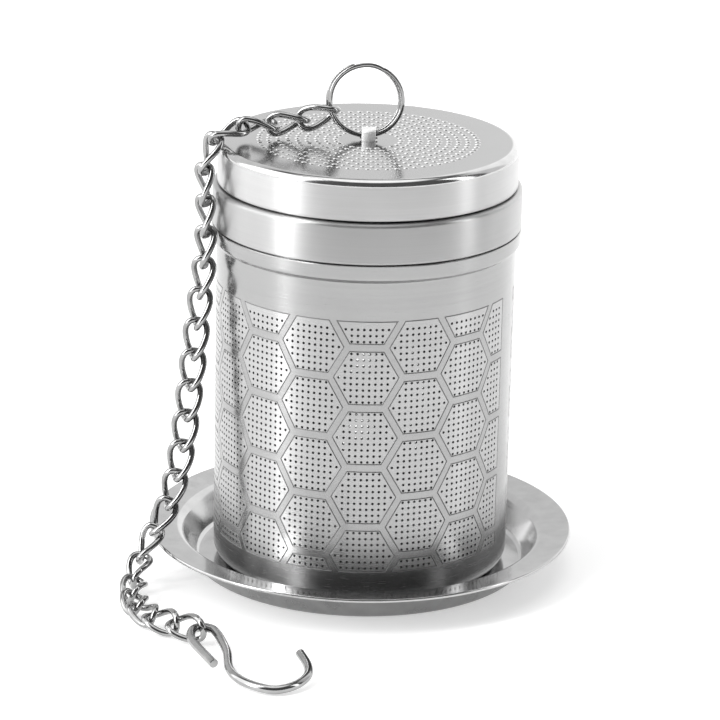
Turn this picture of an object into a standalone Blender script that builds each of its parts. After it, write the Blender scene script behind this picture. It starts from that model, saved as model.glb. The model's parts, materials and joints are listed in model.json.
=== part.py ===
"""Tea infuser: a perforated basket with a screw lid, its chain with a cup hook, and a drip saucer.

The basket stands upright in the saucer with its lid on. The chain runs from the split ring on the lid,
over the lid's edge, down beside the basket, over the saucer's rim and along the table to the hook.
The origin is on the basket's axis at table height. Lengths are in metres, and +Z is up.
"""

import math

import bmesh
import bpy
from mathutils import Matrix, Vector

MM = 0.001
GAP = 0.3 * MM
AROUND = 48
AROUND_THREAD = 36

# Basket
WALL_RADIUS = 25.0 * MM
WALL_SHEET = 0.5 * MM
WALL_BOTTOM = 0.9 * MM
WALL_CORNER = 2.5 * MM
LIP_RADIUS = 20.5 * MM
SHOULDER_BOTTOM = 56.4 * MM
NECK_RADIUS = 25.77 * MM
SEAM_HEIGHT = 59.6 * MM
FLOOR_RADIUS = 22.4 * MM
FLOOR_SHEET = 0.5 * MM
NECK_BORE = 23.9 * MM
THREAD_PITCH = 2.2 * MM
THREAD_DEPTH = 0.35 * MM

# Lid
LID_RADIUS = 25.0 * MM
LID_TOP = 73.74 * MM
LID_SKIRT = 66.9 * MM
LID_EDGE = 1.2 * MM
LID_SHEET = 0.5 * MM
LID_THREAD_RADIUS = 23.6 * MM
LID_THREAD_BOTTOM = 61.2 * MM
LID_THREAD_SHEET = 0.6 * MM
STRAP_WIDTH = 2.3 * MM
STRAP_SHEET = 0.3 * MM
STRAP_REACH = 1.35 * MM
STRAP_HEIGHT = 2.0 * MM
STRAP_FOOT = 2.0 * MM

# Saucer
SAUCER_SHEET = 0.6 * MM
SAUCER_FOOT = 27.3 * MM
SAUCER_WELL = 30.4 * MM
SAUCER_RADIUS = 36.05 * MM
FLANGE_HEIGHT = 5.2 * MM
RIM_HEIGHT = 6.4 * MM

# Split ring
RING_RADIUS = 6.05 * MM
RING_SECTION = (0.75 * MM, 1.3 * MM)
RING_CENTRE = Vector((-0.7, 0.0, 80.5)) * MM

# Chain
LINKS = 24
LINK_PITCH = 5.2 * MM
LINK_WIRE = 1.06 * MM
LINK_OVERLAP = 1.4 * MM
LINK_HALF_WIDTH = 1.9 * MM
LINK_TWIST = math.radians(47)
LINK_ROUNDNESS = 0.7
LINK_POINTS = 20

# The chain's route from the ring to the hook, in millimetres. Each entry is a point on its centre line
# and the way the flat of the links faces there.
CHAIN_ROUTE = (
    ((-5.88, 0.00, 78.50), (-0.24, 0.90, 0.40)),
    ((-10.9, -0.50, 77.00), (-0.15, 0.85, 0.50)),
    ((-16.0, -1.40, 76.30), (-0.10, 0.65, 0.75)),
    ((-20.7, -3.25, 76.50), (-0.26, 0.04, 0.90)),
    ((-25.7, -5.48, 74.30), (-0.83, -0.24, 0.75)),
    ((-26.9, -6.60, 69.00), (-0.96, -0.28, 0.10)),
    ((-26.5, -7.20, 63.30), (-0.94, -0.35, 0.0)),
    ((-26.5, -7.80, 57.80), (-0.88, -0.48, 0.0)),
    ((-26.8, -8.25, 52.50), (-0.78, -0.62, 0.0)),
    ((-27.4, -8.70, 47.40), (-0.66, -0.75, 0.0)),
    ((-27.9, -9.30, 42.10), (-0.55, -0.84, 0.0)),
    ((-28.9, -10.4, 32.00), (-0.40, -0.92, 0.0)),
    ((-30.1, -11.5, 21.70), (-0.45, -0.88, 0.05)),
    ((-31.3, -11.9, 16.30), (-0.60, -0.80, 0.1)),
    ((-32.8, -12.2, 11.20), (-0.75, -0.60, 0.3)),
    ((-35.5, -13.1, 6.90), (-0.80, -0.45, 0.4)),
    ((-36.9, -16.5, 3.30), (-0.65, -0.30, 0.7)),
    ((-37.3, -21.5, 2.00), (-0.35, 0.0, 0.95)),
    ((-37.0, -26.7, 1.75), (-0.15, 0.0, 1.0)),
    ((-35.3, -31.9, 1.80), (-0.20, -0.20, 0.95)),
    ((-32.0, -36.2, 2.00), (-0.35, -0.50, 0.8)),
    ((-27.1, -39.5, 2.35), (-0.40, -0.70, 0.6)),
    ((-23.3, -42.1, 2.45), (-0.40, -0.70, 0.6)),
)
ROUTE_STEPS = 200

# Hook
HOOK_WIRE = 1.5 * MM
HOOK_EYE_HEIGHT = 2.45 * MM

# The hook's centre line seen from above, in millimetres from its joint, from the cut end of its tail
# round the eye and the big bend to the tip.
HOOK_ROUTE = (
    (2.8, -11.4),
    (0.9, -7.8),
    (-0.9, -4.1),
    (-1.4, -1.6),
    (-0.9, 0.4),
    (0.4, 1.1),
    (1.9, 0.4),
    (2.8, -1.2),
    (3.6, -3.4),
    (4.7, -7.6),
    (5.2, -12.4),
    (6.5, -15.6),
    (8.9, -18.0),
    (12.4, -19.4),
    (15.6, -18.0),
    (17.6, -14.8),
    (17.6, -11.2),
    (16.3, -7.1),
)


def clear_scene():
    for obj in list(bpy.data.objects):
        bpy.data.objects.remove(obj, do_unlink=True)


def steel(name, colour, roughness):
    material = bpy.data.materials.new(name)
    material.use_nodes = True
    shader = material.node_tree.nodes["Principled BSDF"]
    shader.inputs["Base Color"].default_value = (*colour, 1.0)
    shader.inputs["Metallic"].default_value = 1.0
    shader.inputs["Roughness"].default_value = roughness
    return material


def add_mesh(name, bm, material, sharp_deg=35):
    """The bmesh as a smooth-shaded object, facing out."""
    bmesh.ops.recalc_face_normals(bm, faces=bm.faces)
    mesh = bpy.data.meshes.new(name)
    bm.to_mesh(mesh)
    bm.free()
    mesh.shade_smooth()
    mesh.set_sharp_from_angle(angle=math.radians(sharp_deg))
    mesh.materials.append(material)
    obj = bpy.data.objects.new(name, mesh)
    bpy.context.scene.collection.objects.link(obj)
    return obj


def arc(centre, radius, start_deg, end_deg, steps):
    """Points along an arc in the plane of radius and height, ends included."""
    angles = [math.radians(start_deg + (end_deg - start_deg) * i / steps) for i in range(steps + 1)]
    return [(centre[0] + radius * math.cos(a), centre[1] + radius * math.sin(a)) for a in angles]


def sheet(path, thickness):
    """A closed outline: the path, then the same path moved to its left by the thickness and reversed."""
    points = [Vector(p) for p in path]
    moved = []
    for i, point in enumerate(points):
        before = (point - points[i - 1]).normalized() if i else None
        after = (points[i + 1] - point).normalized() if i + 1 < len(points) else None
        along = ((before or after) + (after or before)).normalized()
        stretch = 1.0 / max(0.5, along.dot(after or before))
        moved.append(point + Vector((-along.y, along.x)) * thickness * stretch)
    return [tuple(p) for p in points] + [tuple(p) for p in reversed(moved)]


def turned(name, outline, material, around=AROUND):
    """A closed outline of (radius, height) points turned about Z. Points at radius 0 are on the axis."""
    bm = bmesh.new()
    rings = []
    for radius, height in outline:
        if radius <= 0:
            rings.append([bm.verts.new((0, 0, height))])
            continue
        turn = [2 * math.pi * i / around for i in range(around)]
        rings.append([bm.verts.new((radius * math.cos(a), radius * math.sin(a), height)) for a in turn])
    for ring, following in zip(rings, rings[1:] + rings[:1]):
        for i in range(around):
            j = (i + 1) % around
            corners = [ring[i % len(ring)], ring[j % len(ring)]]
            corners += [following[j % len(following)], following[i % len(following)]]
            corners = list(dict.fromkeys(corners))
            if len(corners) > 2:
                bm.faces.new(corners)
    return add_mesh(name, bm, material)


def wire(name, points, thickness, material, sides_step, closed=False):
    """A round wire along the points, as a bevelled curve."""
    curve = bpy.data.curves.new(name, "CURVE")
    curve.dimensions = "3D"
    curve.bevel_depth = thickness / 2
    curve.bevel_resolution = sides_step
    curve.use_fill_caps = not closed
    spline = curve.splines.new("POLY")
    spline.points.add(len(points) - 1)
    for target, point in zip(spline.points, points):
        target.co = (*point, 1.0)
    spline.use_cyclic_u = closed
    spline.use_smooth = True
    curve.materials.append(material)
    obj = bpy.data.objects.new(name, curve)
    bpy.context.scene.collection.objects.link(obj)
    return obj


def attach(child, parent):
    """Parents the child and leaves it where it is."""
    bpy.context.view_layer.update()
    child.parent = parent
    child.matrix_parent_inverse = parent.matrix_world.inverted()


def threaded_outline(crest, inner, bottom, top, ridges_out):
    """The outline of a ring with rolled thread ridges on its outer or its inner side."""
    count = int((top - bottom) / THREAD_PITCH)
    depth = -THREAD_DEPTH if ridges_out else THREAD_DEPTH
    ridged = [(crest + depth, bottom)]
    for i in range(count):
        low = bottom + (i + 0.5) * THREAD_PITCH
        ridged.append((crest + depth, low - 0.4 * THREAD_PITCH))
        ridged.append((crest, low - 0.1 * THREAD_PITCH))
        ridged.append((crest, low + 0.1 * THREAD_PITCH))
        ridged.append((crest + depth, low + 0.4 * THREAD_PITCH))
    ridged.append((crest + depth, top))
    return ridged + [(inner, top), (inner, bottom)]


def make_saucer(material):
    slope = 60
    well_bend = 1.6 * MM
    lip_bend = 1.2 * MM
    path = [(0, 0), (SAUCER_FOOT - well_bend, 0)]
    path += arc((SAUCER_FOOT, well_bend), well_bend, -90, -90 + slope, 3)
    path += arc((SAUCER_WELL + lip_bend, FLANGE_HEIGHT - lip_bend), lip_bend, 90 + slope, 100, 3)
    path += [(SAUCER_RADIUS, RIM_HEIGHT - SAUCER_SHEET)]
    return turned("saucer", sheet(path, SAUCER_SHEET), material)


def make_basket_wall(material):
    corner = WALL_RADIUS - WALL_CORNER, WALL_BOTTOM + WALL_CORNER
    shoulder = 0.8 * MM
    path = [(LIP_RADIUS, WALL_BOTTOM)]
    path += arc(corner, WALL_CORNER, -90, 0, 5)
    path += [(WALL_RADIUS, SHOULDER_BOTTOM)]
    path += [(NECK_RADIUS - 0.12 * MM, SHOULDER_BOTTOM + shoulder)]
    path += [(NECK_RADIUS, SHOULDER_BOTTOM + 2 * shoulder), (NECK_RADIUS, SEAM_HEIGHT)]
    return turned("basket_wall", sheet(path, WALL_SHEET), material)


def make_basket_floor(material):
    bottom = WALL_BOTTOM + WALL_SHEET + GAP
    top = bottom + FLOOR_SHEET
    outline = [(0, bottom), (FLOOR_RADIUS, bottom), (FLOOR_RADIUS, top), (0, top)]
    return turned("basket_floor", outline, material)


def make_collar(material):
    """The band above the seam, with its rounded top lip turned in under the lid's skirt."""
    lip = 0.7 * MM
    top = LID_SKIRT - GAP
    path = [(NECK_RADIUS, SEAM_HEIGHT + GAP)]
    path += arc((NECK_RADIUS - lip, top - lip), lip, 0, 90, 4)
    path += [(NECK_BORE + 0.6 * MM, top)]
    return turned("collar", sheet(path, WALL_SHEET), material)


def make_neck_thread(material):
    top = LID_SKIRT - WALL_SHEET - 2 * GAP
    outline = threaded_outline(NECK_BORE, NECK_RADIUS - WALL_SHEET - GAP, SEAM_HEIGHT + GAP, top, False)
    return turned("neck_thread_ring", outline, material, AROUND_THREAD)


def make_lid_cap(material):
    path = [(LID_RADIUS, LID_SKIRT), (LID_RADIUS, LID_TOP - LID_EDGE)]
    path += arc((LID_RADIUS - LID_EDGE, LID_TOP - LID_EDGE), LID_EDGE, 0, 90, 4)[1:]
    path += [(0, LID_TOP)]
    cap = turned("lid_cap", sheet(path, LID_SHEET), material)
    for side in (-1, 1):
        slot = slot_cutter(side)
        cut = cap.modifiers.new("strap_slot", "BOOLEAN")
        cut.operation = "DIFFERENCE"
        cut.object = slot
    return cap


def slot_cutter(side):
    """The slot in the lid's top that one leg of the strap goes through."""
    bm = bmesh.new()
    bmesh.ops.create_cube(bm, size=1.0)
    size = Vector((STRAP_WIDTH + 2 * GAP, STRAP_SHEET + 2 * GAP, 6 * LID_SHEET))
    bmesh.ops.scale(bm, verts=bm.verts, vec=size)
    mesh = bpy.data.meshes.new("slot_cutter")
    bm.to_mesh(mesh)
    bm.free()
    obj = bpy.data.objects.new("slot_cutter", mesh)
    obj.location = (0, side * (STRAP_REACH - STRAP_SHEET / 2), LID_TOP - LID_SHEET / 2)
    obj.hide_render = True
    obj.display_type = "WIRE"
    bpy.context.scene.collection.objects.link(obj)
    return obj


def make_lid_thread(material):
    """The threaded ring under the lid, with a flange at its top that is welded to the lid."""
    top = LID_TOP - LID_SHEET - GAP
    flange = LID_RADIUS - LID_SHEET - LID_EDGE
    inner = LID_THREAD_RADIUS - THREAD_DEPTH - LID_THREAD_SHEET
    outline = threaded_outline(LID_THREAD_RADIUS, inner, LID_THREAD_BOTTOM, top, True)
    at = len(outline) - 2
    outline[at - 1 : at] = [
        (LID_THREAD_RADIUS - THREAD_DEPTH, top - LID_THREAD_SHEET),
        (flange, top - LID_THREAD_SHEET),
        (flange, top),
    ]
    return turned("lid_thread_ring", outline, material, AROUND_THREAD)


def make_lid_strap(material):
    """The bent strap that holds the split ring: an arch above the lid and two feet below it."""
    bend = 0.6 * MM
    under = LID_TOP - LID_SHEET - GAP - STRAP_SHEET
    crown = LID_TOP + STRAP_HEIGHT
    inside = STRAP_REACH - STRAP_SHEET
    half = [(inside + STRAP_FOOT, under), (inside, under)]
    half += arc((inside - bend + STRAP_SHEET, crown - bend), bend - STRAP_SHEET, 0, 90, 3)
    path = half + [(-y, z) for y, z in reversed(half)]
    bm = bmesh.new()
    loop = [bm.verts.new((-STRAP_WIDTH / 2, y, z)) for y, z in sheet(path, -STRAP_SHEET)]
    face = bm.faces.new(loop)
    grown = bmesh.ops.extrude_face_region(bm, geom=[face])
    moved = [v for v in grown["geom"] if isinstance(v, bmesh.types.BMVert)]
    bmesh.ops.translate(bm, verts=moved, vec=(STRAP_WIDTH, 0, 0))
    return add_mesh("lid_strap", bm, material)


def make_split_ring(material):
    """The ring as one closed loop of two turns of wire side by side, with its origin in the strap."""
    half_wire = RING_SECTION[0] / 2
    offset = RING_SECTION[1] / 2 - half_wire
    section = arc((RING_RADIUS, offset), half_wire, 0, 180, 3)
    section += arc((RING_RADIUS, -offset), half_wire, 180, 360, 3)
    ring = turned("split_ring", section, material, 40)
    drop = Vector((0, 0, RING_RADIUS))
    ring.data.transform(Matrix.Translation(drop) @ Matrix.Rotation(math.pi / 2, 4, "X"))
    ring.location = RING_CENTRE - drop
    return ring


def smoothed(knots, steps):
    """Points along a smooth curve through every knot, this many to each stretch."""
    knots = [Vector(k) for k in knots]
    knots = [2 * knots[0] - knots[1], *knots, 2 * knots[-1] - knots[-2]]
    points = []
    for before, start, end, after in zip(knots, knots[1:], knots[2:], knots[3:]):
        for i in range(steps):
            t = i / steps
            bend = (end - before) * t + (2 * before - 5 * start + 4 * end - after) * t**2
            bend += (3 * start - before - 3 * end + after) * t**3
            points.append(start + bend / 2)
    return points + [knots[-2]]


def chain_joints():
    """The points where the links meet, one link's pitch apart, each with the facing of the links there."""
    points = smoothed([Vector(p) * MM for p, _ in CHAIN_ROUTE], ROUTE_STEPS)
    facings = smoothed([Vector(n).normalized() for _, n in CHAIN_ROUTE], ROUTE_STEPS)
    joints = []
    for point, facing in zip(points, facings):
        if not joints or (point - joints[-1][0]).length >= LINK_PITCH:
            joints.append((point, facing))
    return joints[: LINKS + 1]


def link_points():
    """The centre line of one twisted link, which runs along X from its joint at the origin."""
    half_length = (LINK_PITCH + LINK_OVERLAP) / 2
    points = []
    for i in range(LINK_POINTS):
        turn = 2 * math.pi * (i + 0.5) / LINK_POINTS
        along = math.copysign(abs(math.cos(turn)) ** LINK_ROUNDNESS, math.cos(turn))
        across = math.copysign(abs(math.sin(turn)) ** LINK_ROUNDNESS, math.sin(turn)) * LINK_HALF_WIDTH
        twist = LINK_TWIST * along
        x = LINK_PITCH / 2 + half_length * along
        points.append((x, across * math.cos(twist), across * math.sin(twist)))
    return points


def make_chain(material):
    """The links, each with its origin on its joint with the one before."""
    joints = chain_joints()
    links = []
    shared = None
    for number, ((start, facing), (end, next_facing)) in enumerate(zip(joints, joints[1:]), 1):
        name = f"chain_link_{number:02d}"
        if shared is None:
            link = wire(name, link_points(), LINK_WIRE, material, 1, closed=True)
            shared = link.data
        else:
            link = bpy.data.objects.new(name, shared)
            bpy.context.scene.collection.objects.link(link)
        along = (end - start).normalized()
        across = (facing + next_facing).cross(along).normalized()
        turn = Matrix((along, across, along.cross(across))).transposed()
        link.matrix_world = Matrix.Translation(start) @ turn.to_4x4()
        links.append(link)
    return links, joints[-1][0]


def make_hook(joint, material):
    """The cup hook on the table, with its origin where the last link goes through its eye."""
    route = smoothed([Vector((x, y, 0)) * MM for x, y in HOOK_ROUTE], 3)
    drop = HOOK_EYE_HEIGHT - HOOK_WIRE / 2
    reach = min(p.y for p in route)
    points = [p + Vector((0, 0, HOOK_EYE_HEIGHT - joint.z - drop * max(0, p.y / reach))) for p in route]
    hook = wire("s_hook", points, HOOK_WIRE, material, 2)
    hook.location = joint
    return hook


def main():
    clear_scene()
    satin = steel("satin_steel", (0.62, 0.62, 0.62), 0.32)
    bright = steel("bright_steel", (0.70, 0.70, 0.70), 0.16)
    mesh_steel = steel("etched_steel", (0.58, 0.58, 0.58), 0.30)
    chain_steel = steel("chain_steel", (0.66, 0.66, 0.66), 0.14)
    hook_steel = steel("hook_steel", (0.64, 0.64, 0.64), 0.20)

    saucer = make_saucer(bright)
    wall = make_basket_wall(mesh_steel)
    attach(wall, saucer)
    for piece in (make_basket_floor(mesh_steel), make_collar(satin), make_neck_thread(satin)):
        attach(piece, wall)
    cap = make_lid_cap(satin)
    attach(cap, wall)
    for piece in (make_lid_thread(satin), make_lid_strap(bright)):
        attach(piece, cap)
    before = make_split_ring(bright)
    attach(before, cap)
    links, last_joint = make_chain(chain_steel)
    for piece in (*links, make_hook(last_joint, hook_steel)):
        attach(piece, before)
        before = piece


main()
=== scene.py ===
"""Tea infuser: the detailed pieces, their finishes and a small studio, over the CAD frame.

Lengths are in metres unless a name ends in _MM, and azimuth 0 is the front of the basket, towards -Y.
"""

import json
import math

import bpy
import numpy as np
from mathutils import Matrix, Vector
from mathutils.geometry import delaunay_2d_cdt, normal


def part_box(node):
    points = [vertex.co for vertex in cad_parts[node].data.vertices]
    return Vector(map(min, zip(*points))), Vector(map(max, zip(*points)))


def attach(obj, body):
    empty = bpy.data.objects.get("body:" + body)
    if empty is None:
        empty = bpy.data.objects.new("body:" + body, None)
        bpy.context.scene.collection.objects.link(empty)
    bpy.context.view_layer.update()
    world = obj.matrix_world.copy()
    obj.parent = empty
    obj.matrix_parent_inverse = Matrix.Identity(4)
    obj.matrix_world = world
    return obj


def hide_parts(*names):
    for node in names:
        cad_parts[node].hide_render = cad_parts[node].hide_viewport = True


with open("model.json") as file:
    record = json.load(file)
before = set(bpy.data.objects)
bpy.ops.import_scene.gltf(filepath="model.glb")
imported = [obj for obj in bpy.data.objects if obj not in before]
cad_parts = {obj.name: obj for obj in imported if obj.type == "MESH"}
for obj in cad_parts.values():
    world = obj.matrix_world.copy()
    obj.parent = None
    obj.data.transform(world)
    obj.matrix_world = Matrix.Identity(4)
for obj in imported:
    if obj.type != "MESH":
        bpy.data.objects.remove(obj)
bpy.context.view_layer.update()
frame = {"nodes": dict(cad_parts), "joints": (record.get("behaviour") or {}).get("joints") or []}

MM = 0.001
AROUND = 144
# Two lengths that differ by less are the same
SAME = 1e-4 * MM

# The perforated and etched pattern on the basket, as laid out flat
PATTERN_LOW = 6.7 * MM
PATTERN_HIGH = 50.2 * MM
PATTERN_RIGHT = math.radians(65.5)
PATTERN_LEFT = math.radians(79.0 - 360.0)
SEAM = math.radians(72.0)
CELL_AZIMUTH = math.radians(1.2)
CELL_STEP = math.radians(20.75)
CELL_ROW_PITCH = 10.33 * MM
CELL_ROW = 9.52 * MM
CELL_HALF_HEIGHT = 4.5 * MM
CELL_HALF_WIDTH = 5.34 * MM
CELL_HALF_FLAT = 2.77 * MM
CELL_SLOPE = CELL_HALF_HEIGHT / (CELL_HALF_WIDTH - CELL_HALF_FLAT)
CELL_COLUMNS = range(-14, 5)
CELL_ROWS = range(-1, 6)
ETCH_WIDTH = 0.2 * MM
ETCH_DEPTH = 0.07 * MM
HOLE_ROW_PITCH = 1.033 * MM
HOLE_PITCH = 1.0 * MM
HOLE_RADIUS = 0.24 * MM
HOLE_MARGIN = 0.25 * MM
HOLE_COUNTS = (6, 6, 8, 8, 10, 8, 8, 6, 6)
OUTLINE_STEP = 1.4 * MM
PLAIN_STEP = 2.0 * MM
PLAIN_MARGIN = 0.5 * MM

# The rings of holes in the lid and the floor
LID_HOLES_OUTER = 18.1 * MM
LID_HOLES_STEP = 1.58 * MM
LID_HOLES_MOST = 72
LID_HOLES_FEWER = 6
LID_HOLE_RINGS = 9
LID_HOLE_RADIUS = 0.27 * MM
LID_HOLE_SIDES = 8
LID_DIMPLE = 0.27 * MM


# ---------------------------- meshes


def arc(centre, radius, start_deg, end_deg, steps):
    """Points along an arc in the plane of radius and height, ends included."""
    angles = [math.radians(start_deg + (end_deg - start_deg) * i / steps) for i in range(steps + 1)]
    return [(centre[0] + radius * math.cos(a), centre[1] + radius * math.sin(a)) for a in angles]


def polar(radius, azimuth, height):
    """The point at this distance from the Z axis and this turn from the front towards the right."""
    return radius * math.sin(azimuth), -radius * math.cos(azimuth), height


def circle(radius, height, around=AROUND, start=0.0):
    """Points round the Z axis at one height."""
    return [polar(radius, start + 2 * math.pi * i / around, height) for i in range(around)]


def sheet(path, thickness):
    """A closed outline: the path, then the same path moved to its left by the thickness and reversed."""
    points = [Vector(p) for p in path]
    moved = []
    for i, point in enumerate(points):
        before = (point - points[i - 1]).normalized() if i else None
        after = (points[i + 1] - point).normalized() if i + 1 < len(points) else None
        along = ((before or after) + (after or before)).normalized()
        stretch = 1.0 / max(0.5, along.dot(after or before))
        moved.append(point + Vector((-along.y, along.x)) * thickness * stretch)
    return [tuple(p) for p in points] + [tuple(p) for p in reversed(moved)]


def eased(outline, radius, least_deg=50, steps=4):
    """The closed outline with its sharp corners rounded."""
    points = [Vector(p) for p in outline]
    out = []
    for i, point in enumerate(points):
        to_last = points[i - 1] - point
        to_next = points[(i + 1) % len(points)] - point
        turn = math.degrees(math.pi - to_last.angle(to_next))
        if turn < least_deg or point.x <= 0:
            out.append(tuple(point))
            continue
        reach = min(radius, 0.45 * to_last.length, 0.45 * to_next.length)
        first = point + to_last.normalized() * reach
        last = point + to_next.normalized() * reach
        for j in range(steps + 1):
            t = j / steps
            out.append(tuple(first * (1 - t) ** 2 + 2 * point * t * (1 - t) + last * t**2))
    return out


class Shape:
    """Vertices and faces of one piece, each face with its finish and, where it is set, its smooth normals."""

    def __init__(self):
        self.points = []
        self.faces = []
        self.finishes = []
        self.normals = []

    def add_points(self, points):
        start = len(self.points)
        self.points.extend(tuple(p) for p in points)
        return list(range(start, len(self.points)))

    def add_face(self, face, finish=0, normals=None):
        """normals is None for automatic smooth shading, "flat", or one vector for each corner."""
        self.faces.append(tuple(face))
        self.finishes.append(finish)
        self.normals.append(normals)

    def turn(self, outline, around=AROUND):
        """The closed outline of (radius, height) points turned about Z."""
        rings = []
        for radius, height in outline:
            points = circle(radius, height, around) if radius > 1e-9 else [(0, 0, height)]
            rings.append(self.add_points(points))
        self.bridge(rings, True)

    def bridge(self, rings, closed=False, finish=0):
        """Faces between each ring of vertices and the next. A ring may be a single vertex."""
        following = rings[1:] + rings[:1] if closed else rings[1:]
        for ring, after in zip(rings, following):
            around = max(len(ring), len(after))
            for i in range(around):
                j = (i + 1) % around
                corners = [ring[i % len(ring)], ring[j % len(ring)]]
                corners += [after[j % len(after)], after[i % len(after)]]
                corners = list(dict.fromkeys(corners))
                if len(corners) > 2:
                    self.add_face(corners, finish)

    def sweep(self, sections, closed=False):
        """Rings of points joined into a tube, with flat ends where it is open."""
        rings = [self.add_points(section) for section in sections]
        self.bridge(rings, closed)
        if not closed:
            self.add_face(rings[0][::-1], normals="flat")
            self.add_face(rings[-1], normals="flat")

    def piece(self, name, body, node, materials, sharp_deg=38):
        """The finished object, which stands for a CAD node and rides its body."""
        mesh = bpy.data.meshes.new(name)
        mesh.from_pydata(self.points, [], self.faces)
        for material in materials:
            mesh.materials.append(material)
        mesh.polygons.foreach_set("material_index", self.finishes)
        mesh.shade_smooth()
        mesh.set_sharp_from_angle(angle=math.radians(sharp_deg))
        if any(n is not None for n in self.normals):
            smooth = [n != "flat" for n in self.normals]
            mesh.polygons.foreach_set("use_smooth", smooth)
            loops = []
            for face, normals in zip(self.faces, self.normals):
                if normals is None or isinstance(normals, str):
                    loops.extend([(0.0, 0.0, 0.0)] * len(face))
                else:
                    loops.extend(normals)
            mesh.normals_split_custom_set(loops)
        mesh.update()
        obj = bpy.data.objects.new(name, mesh)
        bpy.context.scene.collection.objects.link(obj)
        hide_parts(node)
        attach(obj, body)


def smoothed(knots, steps):
    """Points along a smooth curve through every knot, this many to each stretch."""
    knots = [Vector(k) for k in knots]
    knots = [2 * knots[0] - knots[1], *knots, 2 * knots[-1] - knots[-2]]
    points = []
    for before, start, end, after in zip(knots, knots[1:], knots[2:], knots[3:]):
        for i in range(steps):
            t = i / steps
            bend = (end - before) * t + (2 * before - 5 * start + 4 * end - after) * t**2
            bend += (3 * start - before - 3 * end + after) * t**3
            points.append(start + bend / 2)
    return points + [knots[-2]]


def evenly(points, count, closed):
    """The line of points again, at this many even steps."""
    line = np.array([tuple(p) for p in points])
    if closed:
        line = np.vstack([line, line[:1]])
    travelled = np.concatenate([[0], np.cumsum(np.linalg.norm(np.diff(line, axis=0), axis=1))])
    at = np.linspace(0, travelled[-1], count + 1 if closed else count)
    again = np.stack([np.interp(at, travelled, line[:, k]) for k in range(3)], axis=1)
    return [Vector(p) for p in (again[:-1] if closed else again)]


def tube_sections(points, radius, sides, closed):
    """Round sections along the points, carried along without twisting. radius may be one for each point."""
    count = len(points)
    tangents = []
    for i in range(count):
        before = points[i - 1] if closed or i else points[0]
        after = points[(i + 1) % count] if closed or i + 1 < count else points[-1]
        tangents.append((after - before).normalized())
    side = tangents[0].orthogonal().normalized()
    sides_at = [side]
    for i in range(1, count):
        turn = tangents[i - 1].rotation_difference(tangents[i])
        side = turn @ side
        side = (side - tangents[i] * side.dot(tangents[i])).normalized()
        sides_at.append(side)
    twist = 0.0
    if closed:
        last = tangents[-1].rotation_difference(tangents[0]) @ sides_at[-1]
        other = tangents[0].cross(sides_at[0])
        twist = -math.atan2(last.dot(other), last.dot(sides_at[0]))
    sections = []
    for i, (point, tangent, side) in enumerate(zip(points, tangents, sides_at)):
        across = tangent.cross(side)
        reach = radius[i] if isinstance(radius, list) else radius
        added = twist * i / count
        turns = [2 * math.pi * k / sides + added for k in range(sides)]
        sections.append([point + reach * (math.cos(a) * side + math.sin(a) * across) for a in turns])
    return sections


# ---------------------------- flat layouts


class Layout:
    """Points and fixed edges laid out flat, then filled with triangles."""

    def __init__(self):
        self.points = []
        self.edges = []
        self.kinds = []

    def loop(self, points, kind):
        start = len(self.points)
        self.dots(points, kind)
        count = len(points)
        self.edges.extend((start + i, start + (i + 1) % count) for i in range(count))
        return list(range(start, start + count))

    def hole(self, points):
        """A loop that is left open inside. Each one is a kind of its own."""
        self.loop(points, ("hole", len(self.points)))

    def dots(self, points, kind):
        self.points.extend(points)
        self.kinds.extend([kind] * len(points))

    def triangles(self):
        """(index of each laid point in the result, the result's points, its triangles)."""
        scaled = [Vector((x / MM, y / MM)) for x, y in self.points]
        points, _, faces, origins, _, _ = delaunay_2d_cdt(scaled, self.edges, [], 0, 1e-5)
        where = [None] * len(self.points)
        for i, sources in enumerate(origins):
            for source in sources:
                where[source] = i
        return where, [(p.x * MM, p.y * MM) for p in points], faces

    def kinds_at(self, where):
        """The kind of every point in the result that was laid out, by its index."""
        kinds = {}
        for source, at in enumerate(where):
            if self.kinds[source] is not None or at not in kinds:
                kinds[at] = self.kinds[source]
        return kinds

    def holes(self, where):
        """The corners of every hole, as indexes in the result."""
        rings = {}
        for source, kind in enumerate(self.kinds):
            if isinstance(kind, tuple):
                rings.setdefault(kind, []).append(where[source])
        return list(rings.values())


def in_hole(kinds):
    """Whether three corners of these kinds are all on the edge of one hole."""
    return isinstance(kinds[0], tuple) and kinds[0] == kinds[1] == kinds[2]


def divided(corners, longest):
    """The closed polygon with its sides divided into even steps no longer than this."""
    out = []
    for (x0, y0), (x1, y1) in zip(corners, corners[1:] + corners[:1]):
        steps = max(1, math.ceil(math.hypot(x1 - x0, y1 - y0) / longest))
        out += [(x0 + (x1 - x0) * i / steps, y0 + (y1 - y0) * i / steps) for i in range(steps)]
    return out


def clipped(corners, low, high):
    """The convex polygon cut to a rectangle, given by two of its corners."""
    for axis, bound, sign in ((0, low[0], 1), (0, high[0], -1), (1, low[1], 1), (1, high[1], -1)):
        kept = []
        for a, b in zip(corners, corners[1:] + corners[:1]):
            da = sign * (a[axis] - bound)
            db = sign * (b[axis] - bound)
            if da >= 0:
                kept.append(a)
            if da * db < 0:
                t = da / (da - db)
                kept.append((a[0] + (b[0] - a[0]) * t, a[1] + (b[1] - a[1]) * t))
        corners = kept
        if len(corners) < 3:
            return []
    return corners


def hexagon(centre, grow):
    """A hexagon of the basket's pattern, moved out by this much on every side."""
    x, y = centre
    wide = CELL_HALF_WIDTH + grow * math.hypot(1, CELL_SLOPE) / CELL_SLOPE
    high = CELL_HALF_HEIGHT + grow
    flat = wide - high / CELL_SLOPE
    corners = ((-flat, -high), (flat, -high), (wide, 0), (flat, high), (-flat, high), (-wide, 0))
    return [(x + right, y + up) for right, up in corners]


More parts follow.
